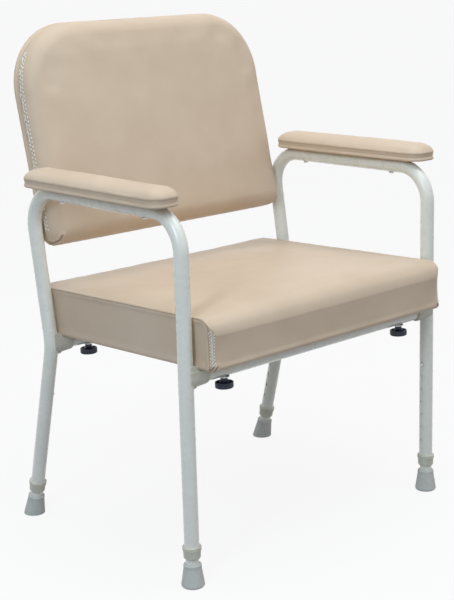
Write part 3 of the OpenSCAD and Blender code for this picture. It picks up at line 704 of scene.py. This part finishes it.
def stitches(name, ob, rows, matrix, width, pitch, radius):
    """Thread on a sewn piece. Rows with a width are zigzag: thin slanting threads with knots at the turns."""
    me = ob.data
    skin = BVHTree.FromPolygons([v.co for v in me.vertices], [p.vertices for p in me.polygons])
    verts, faces = [], []

    def thread(path, ups, r):
        faces.extend(tube_faces(len(verts), len(path)))
        verts.extend(tube_points(path, r * MM, ups))

    slim = radius * (0.5 if width else 1)
    for row in rows:
        holes = stitch_holes(skin, row, matrix, width, pitch)
        pairs = list(zip(holes, holes[1:]))
        for (a, na, _), (b, nb, _) in pairs if width else pairs[::2]:
            ups = [(na * (1 - t) + nb * t).normalized() for t, _ in STITCH]
            path = [a.lerp(b, t) + n * ((h - 0.4) * slim * MM) for (t, h), n in zip(STITCH, ups)]
            thread(path, ups, slim)
        for at, n, along in holes if width else ():
            path = [at + along * (t * KNOT_HALF_SHARE * pitch * MM) + n * (h * radius * MM)
                    for t, h in KNOT]
            thread(path, [n] * len(KNOT), radius)
    piece = mesh_object(name, verts, faces)
    piece.data.shade_smooth()
    piece.data.materials.append(THREAD)
    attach(piece, "frame")
    return piece


# Seat

seat_plan = Plan(SEAT_HALF_W, SEAT_FRONT, SEAT_REAR, SEAT_CORNER, SEAT_CORNER)
seat_pocket = pocket_plan(
    seat_plan, SEAT_HALF_W - BOARD_MARGIN, SEAT_FRONT + BOARD_MARGIN, SEAT_REAR - BOARD_MARGIN,
    r=BOARD_MARGIN, grow=2 * REST_GAP)
seat_form = form_mesh(
    seat_plan, seat_pocket, pocket_h=BOARD_T + REST_GAP, top=SEAT_SEAM + SEAT_EDGE, crown=SEAT_CROWN,
    edge_r=SEAT_EDGE_R, edge_h=SEAT_EDGE, nose=SEAT_NOSE, hem=SEAT_HEM, draw=SIDE_GAP,
    wall_n=22, edge_n=9, inner_n=46)


def nose_height(y):
    return SEAT_SEAM - float(drop(np.array([y - SEAT_FRONT]), SEAT_NOSE, SEAT_NOSE)[0])


def on_corner(turn, z):
    """A point of the right front corner, turned from the side towards the front."""
    return (SEAT_CORNER_X + SEAT_CORNER * math.cos(turn), SEAT_CORNER_Y - SEAT_CORNER * math.sin(turn), z)


def seat_seam(sign):
    """Up the rear corner, along the side panel's top, over the waterfall edge and down the front corner."""
    foot = SEAT_HEM * 0.4
    rear_y = SEAT_REAR - SEAT_CORNER
    x = SEAT_CORNER_X + SEAT_CORNER * math.cos(SEAM_TURN)
    y = rear_y + SEAT_CORNER * math.sin(SEAM_TURN)
    line = [(x, y, foot), (x, y, SEAT_SEAM)]
    for t in (0.5, 0.2, 0):
        line.append((
            SEAT_CORNER_X + SEAT_CORNER * math.cos(t), rear_y + SEAT_CORNER * math.sin(t), SEAT_SEAM))
    for y in np.linspace(rear_y, SEAT_FRONT + SEAT_NOSE, 30):
        line.append((SEAT_HALF_W, y, SEAT_SEAM))
    nose_run = SEAT_NOSE - SEAT_CORNER * (1 - math.sin(SEAM_TURN))
    for t in np.linspace(0, 1, 16)[1:]:
        y = SEAT_FRONT + SEAT_NOSE - nose_run * math.sin(t * math.pi / 2)
        x = SEAT_HALF_W
        if y < SEAT_CORNER_Y:
            x = SEAT_CORNER_X + math.sqrt(max(0, SEAT_CORNER ** 2 - (SEAT_CORNER_Y - y) ** 2))
        line.append((x, y, nose_height(y)))
    line.append(on_corner(SEAM_TURN, foot))
    return mirrored(sign, eased(line))


def corner_darts(sign):
    """Two short tucks at the foot of the front corner."""
    tucks = [[(0.05, 1.0), (0.2, 4), (0.5, 8)], [(0.65, 1.0), (0.8, 4), (1.05, 8.5)]]
    return [mirrored(sign, [on_corner(SEAM_TURN + turn, z) for turn, z in tuck]) for tuck in tucks]


def corner_rows(sign):
    """Two rows beside the front corner seam, on the front face."""
    r = SEAT_CORNER
    top = SEAT_SEAM - SEAT_NOSE + SEAT_ROW_PAST
    dx, dy, dz = SEAT_ROW_END
    rows = []
    for away in SEAT_ROWS_AWAY:
        flat = max(0.0, away - (math.pi / 2 - SEAM_TURN) * r)
        turn = min(SEAM_TURN + away / r, math.pi / 2)
        x, y = SEAT_CORNER_X + r * math.cos(turn) - flat, SEAT_CORNER_Y - r * math.sin(turn)
        rows.append(mirrored(sign, [(x, y, SEAT_ROW_FOOT), (x, y, top), (x + dx, y + dy, top + dz)]))
    return rows


seat_seams = [seat_seam(1), seat_seam(-1)]
seat_rows = corner_rows(1) + corner_rows(-1)
seat = padded_piece(
    "seat_upholstery", "seat_cushion", seat_form, SEAT_M, held_near(seat_seams, **CUSHION_HOLD),
    seat_seams, corner_darts(1) + corner_darts(-1), seat_rows,
    seam_depth=1.4, puff=CUSHION_PUFF, seed=3.0)
stitches("seat_zigzag", seat, seat_rows, SEAT_M, width=4.2, pitch=5.0, radius=0.7)


# Backrest

back_plan = Plan(SEAT_HALF_W, 0, BACK_L, BACK_LOW_R, BACK_TOP_R, corner_n=34)
back_pocket = pocket_plan(
    back_plan, SEAT_HALF_W - BOARD_MARGIN, BOARD_MARGIN, BACK_L - BOARD_MARGIN,
    r=BACK_TOP_R - BOARD_MARGIN, grow=2 * REST_GAP)
back_form = form_mesh(
    back_plan, back_pocket, pocket_h=BOARD_T + REST_GAP, top=BACK_T, crown=BACK_CROWN,
    edge_r=BACK_EDGE, edge_h=BACK_EDGE, nose=0, hem=BACK_HEM, draw=SIDE_GAP,
    wall_n=12, edge_n=44, inner_n=40)


def back_darts(sign):
    """Two tucks at the lower corner, one up the front and one under it: how far in from the side, y and z."""
    tucks = [
        [(20, 17, 43), (18.5, 12, 37), (15, 9, 28), (9, 8, 14)],
        [(9, 11, 22), (13, 7, 15), (18, 3, 9)]]
    return [mirrored(sign, [(SEAT_HALF_W - x, y, z) for x, y, z in tuck]) for tuck in tucks]


def back_rows():
    """Two rows up each side, from above the lower corner into the upper one."""
    outer = back_plan.outline(0)
    low, high = BACK_ROW_FOOT, BACK_L - BACK_ROW_HEAD
    rows = []
    for z in (BACK_ROW, BACK_ROW + BACK_ROW_GAP):
        inset = BACK_EDGE * (1 - math.cos(math.asin(max(0, z - BACK_T + BACK_EDGE) / BACK_EDGE)))
        for sign in (1, -1):
            p = outer[(outer[:, 0] * sign > 0) & (outer[:, 1] > low) & (outer[:, 1] < high)]
            p = p[np.argsort(p[:, 1])]
            keep = np.abs(p[:, 0]) > SEAT_HALF_W - BACK_ROW_IN
            rows.append([(q[0] - sign * inset, q[1], z) for q in p[keep]])
    return rows


back_seam = closed(back_plan.outline(BACK_SEAM_IN), BACK_SEAM)
back = padded_piece(
    "backrest_upholstery", "backrest_cushion", back_form, BACK_M, held_near([back_seam], **CUSHION_HOLD),
    [back_seam], back_darts(1) + back_darts(-1), back_rows(),
    seam_depth=1.1, puff=CUSHION_PUFF, seed=11.0)
stitches("backrest_zigzag", back, back_rows(), BACK_M, width=5.0, pitch=7.4, radius=0.85)


def cover_points(outer):
    """A thin sheet with a folded edge, from its middle in front to its middle behind, and its ring count."""
    flat_inset = 6
    edge = ((flat_inset, COVER_FRONT), (0.4, COVER_FRONT), (0, -0.12), (0.1, -0.24), (0.7, COVER_BACK))
    rings = [level(outer.outline(by), z) for by, z in edge]
    rings += [level(outer.outline(by), COVER_BACK) for by in (3, flat_inset)]
    mid = np.array([0.0, (outer.y0 + outer.y1) / 2])
    rings += [level(mid + (outer.outline(flat_inset) - mid) * s, COVER_BACK) for s in (0.75, 0.5, 0.25)]
    return np.concatenate(rings + [[[*mid, COVER_FRONT], [*mid, COVER_BACK]]]), len(rings)


def rear_cover():
    """Vinyl sheet over the board's back, folded under and sewn along its edge."""
    outer = Plan(
        back_pocket.w + COVER_LAP, back_pocket.y0 - COVER_LAP, back_pocket.y1 + COVER_LAP,
        COVER_LOW_R, COVER_TOP_R)
    outer.corner_n, outer.nx, outer.ny = back_plan.corner_n, back_plan.nx, back_plan.ny
    points, m = cover_points(outer)
    n = len(outer.outline(0))
    ob = mesh_object(
        "backrest_rear_cover", [BACK_M @ Vector(p) for p in points], [f[::-1] for f in ring_faces(n, m)])
    me = ob.data
    # The folded edge is darkened with painted shade
    edge = np.zeros(len(points))
    edge[2 * n:4 * n] = 0.6
    set_crease_shade(me, edge)
    me.shade_smooth()
    me.materials.append(VINYL)
    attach(ob, "frame")
    # One open row: up one side, over the top and down the other, none along the foot
    path = outer.outline(COVER_ROW_IN)
    path = path[path[:, 1] > COVER_ROW_FOOT]
    path = path[np.argsort(np.arctan2(path[:, 0], COVER_ROW_TURN - path[:, 1]) % (2 * math.pi))]
    row = [tuple(p) + (COVER_BACK,) for p in path]
    thread = stitches("rear_cover_thread", ob, [row], BACK_M, width=0, pitch=5.0, radius=0.4)


rear_cover()


# Arm pads

pad_plan = Plan(
    PAD_HALF_W, PAD_FRONT, PAD_FRONT + PAD_L, PAD_CORNER, PAD_CORNER, PAD_TAPER, corner_n=22, step=3.0)
board_half = PAD_HALF_W - BOARD_MARGIN / 2
pad_pocket = pocket_plan(
    pad_plan, board_half, PAD_FRONT + BOARD_MARGIN, PAD_FRONT + PAD_L - BOARD_MARGIN,
    r=board_half / 2, grow=REST_GAP)
pad_form = form_mesh(
    pad_plan, pad_pocket, pocket_h=PAD_SIDE - PAD_SKIN + REST_GAP, top=PAD_SIDE + PAD_DOME, crown=0,
    edge_r=PAD_HALF_W * 0.96, edge_h=PAD_DOME, nose=0, hem=PAD_SIDE / 4, draw=PAD_SIDE / 10,
    wall_n=10, edge_n=30, inner_n=2)
pad_seam = closed(pad_plan.outline(0), PAD_SIDE)

for sign, side in ((-1, "left"), (1, "right")):
    padded_piece(
        side + "_arm_upholstery", side + "_arm_pad", pad_form, pad_matrix(sign),
        held_near([pad_seam], **PAD_HOLD), [pad_seam],
        seam_depth=0.7, puff=PAD_PUFF, seed=21.0 + sign)


# Button springs

# Where the leaf starts to bend, from the leg's axis to its heel, and stops, from its tip to that place
BEND_START_SHARE, BEND_END_SHARE = 1 / 4, 1 / 16


def leaf(corner, cuts=9):
    """The snap button's leaf spring, cut finely enough to bend as the button goes in."""
    node = corner + "_button_spring"
    low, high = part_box(node)
    axis_x = sum(c[0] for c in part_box(corner + "_inner_leg")) / 2
    tip, heel = (high[0], low[0]) if "left" in corner else (low[0], high[0])
    apex = axis_x + (heel - axis_x) * BEND_START_SHARE
    head = tip - (tip - apex) * BEND_END_SHARE
    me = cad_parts[node].data.copy()
    bm = bmesh.new()
    bm.from_mesh(me)
    for share in np.linspace(0.1, 0.9, cuts):
        bmesh.ops.bisect_plane(
            bm, geom=bm.verts[:] + bm.edges[:] + bm.faces[:],
            plane_co=(apex + (head - apex) * share, 0, 0), plane_no=(1, 0, 0))
    bm.to_mesh(me)
    bm.free()
    ob = bpy.data.objects.new(corner + "_leaf", me)
    scene.collection.objects.link(ob)
    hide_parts(node)
    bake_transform(ob)


for corner in ("front_left", "front_right", "rear_left", "rear_right"):
    leaf(corner)


# Camera, light and floor

# The photo's camera, as it was fitted: turns in degrees, place in metres from the front feet
CAMERA_TURNS = (-42.076, 13.916, -1.646)
CAMERA_X, CAMERA_Y, CAMERA_Z = -1.6918, -1.6459, 1.0227
FOCAL_PX, PHOTO_H_PX, SENSOR_H = 1401.3, 600, 36

# Name, place, the point that it faces, width and height, watts and colour
LAMPS = (
    ("top", (0.1, 0.0, 2.8), (0, 0, 0.4), (2.0, 2.0), 17.5, (1, 0.96, 0.89)),
    ("front_box", (0.1, -0.8, 1.85), (0, 0.2, 0.7), (1.1, 0.6), 4.6, (0.86, 0.93, 1.0)),
    ("left_box", (-1.8, -0.9, 1.7), (-0.2, 0.1, 0.7), (0.3, 1.1), 13.4, (0.74, 0.87, 1.0)),
)
FLOOR_HALF = 60
WHITE = (1, 1, 1, 1)


def camera():
    yaw, pitch, roll = (math.radians(v) for v in CAMERA_TURNS)
    back = Vector((math.sin(yaw) * math.cos(pitch), -math.cos(yaw) * math.cos(pitch), math.sin(pitch)))
    right = Vector((math.cos(yaw), math.sin(yaw), 0))
    up = back.cross(right)
    c, s = math.cos(roll), math.sin(roll)
    axes = [c * right + s * up, -s * right + c * up, back]
    data = bpy.data.cameras.new("camera")
    data.sensor_fit = "VERTICAL"
    data.sensor_height = SENSOR_H
    data.lens = SENSOR_H * FOCAL_PX / PHOTO_H_PX
    data.clip_start, data.clip_end = 0.1, 200
    cam = bpy.data.objects.new("camera", data)
    m = Matrix([[axes[j][i] for j in range(3)] + [0] for i in range(3)] + [[0, 0, 0, 1]])
    cam.matrix_world = Matrix.Translation((CAMERA_X, CAMERA_Y - ORIGIN_Y * MM, CAMERA_Z)) @ m
    scene.collection.objects.link(cam)
    scene.camera = cam


def area_light(name, at, target, size, power, colour):
    data = bpy.data.lights.new(name, "AREA")
    data.shape = "RECTANGLE"
    data.size, data.size_y = size
    data.energy = power
    data.color = colour
    ob = bpy.data.objects.new(name, data)
    ob.location = at
    ob.rotation_euler = (Vector(target) - Vector(at)).to_track_quat("-Z", "Y").to_euler()
    ob.visible_camera = False
    scene.collection.objects.link(ob)


def backdrop_rays(tree):
    """1 for the camera's rays and those that glossy and clear surfaces send, which see the background."""
    path = add(tree, "ShaderNodeLightPath")
    both = add(tree, "ShaderNodeMath", operation="MAXIMUM")
    tree.links.new(path.outputs["Is Camera Ray"], both.inputs[0])
    tree.links.new(path.outputs["Is Glossy Ray"], both.inputs[1])
    every = add(tree, "ShaderNodeMath", operation="MAXIMUM")
    tree.links.new(both.outputs[0], every.inputs[0])
    tree.links.new(path.outputs["Is Transmission Ray"], every.inputs[1])
    return every.outputs[0]


def floor():
    """Pale floor that shows nearly white but keeps the shadow, and throws little light back up."""
    m, tree, shader = new_material("studio_floor")
    at = place(tree)
    tone = ramp(tree, grain(tree, at, 3, 2), [(0, (0.8, 0.8, 0.8)), (1, (0.84, 0.84, 0.84))])
    shown = backdrop_rays(tree)
    dim = add(tree, "ShaderNodeMix", data_type="RGBA")
    dim.inputs[6].default_value = (0.26, 0.26, 0.27, 1)
    tree.links.new(shown, dim.inputs[0])
    tree.links.new(tone, dim.inputs[7])
    tree.links.new(dim.outputs[2], shader.inputs["Base Color"])
    shader.inputs["Roughness"].default_value = 0.9
    glow = add(tree, "ShaderNodeEmission", {"Color": WHITE, "Strength": 1.0})
    mix = add(tree, "ShaderNodeMixShader")
    tree.links.new(spread(tree, shown, 0.0, 0.88), mix.inputs[0])
    tree.links.new(shader.outputs[0], mix.inputs[1])
    tree.links.new(glow.outputs[0], mix.inputs[2])
    tree.links.new(mix.outputs[0], tree.nodes["Material Output"].inputs[0])
    r = FLOOR_HALF
    ob = mesh_object("studio_floor", [(-r, -r, 0), (r, -r, 0), (r, r, 0), (-r, r, 0)], [(0, 1, 2, 3)])
    ob.data.materials.append(m)


def sky():
    """White where it is seen; as a light, brighter above and cooler from the left."""
    w = bpy.data.worlds.new("studio")
    scene.world = w
    w.use_nodes = True
    tree = w.node_tree
    tree.nodes.clear()
    out = tree.nodes.new("ShaderNodeOutputWorld")
    seen = add(tree, "ShaderNodeBackground", {"Color": WHITE, "Strength": 1.0})
    lit = add(tree, "ShaderNodeBackground")
    split = add(tree, "ShaderNodeSeparateXYZ")
    tree.links.new(add(tree, "ShaderNodeTexCoord").outputs["Generated"], split.inputs[0])
    span = add(tree, "ShaderNodeMapRange", {"From Min": -1.0, "From Max": 1.0})
    tree.links.new(split.outputs["X"], span.inputs["Value"])
    tone = ramp(tree, span.outputs[0], [
        (0.0, (0.82, 0.92, 1.0)), (0.5, (0.94, 0.97, 1.0)), (1.0, (1.0, 0.98, 0.95))])
    tree.links.new(tone, lit.inputs["Color"])
    tree.links.new(spread(tree, split.outputs["Z"], 0.34, 0.70), lit.inputs["Strength"])
    mix = add(tree, "ShaderNodeMixShader")
    tree.links.new(backdrop_rays(tree), mix.inputs[0])
    tree.links.new(lit.outputs[0], mix.inputs[1])
    tree.links.new(seen.outputs[0], mix.inputs[2])
    tree.links.new(mix.outputs[0], out.inputs[0])


camera()
sky()
floor()
for lamp in LAMPS:
    area_light(*lamp)

scene.view_settings.view_transform = "Standard"
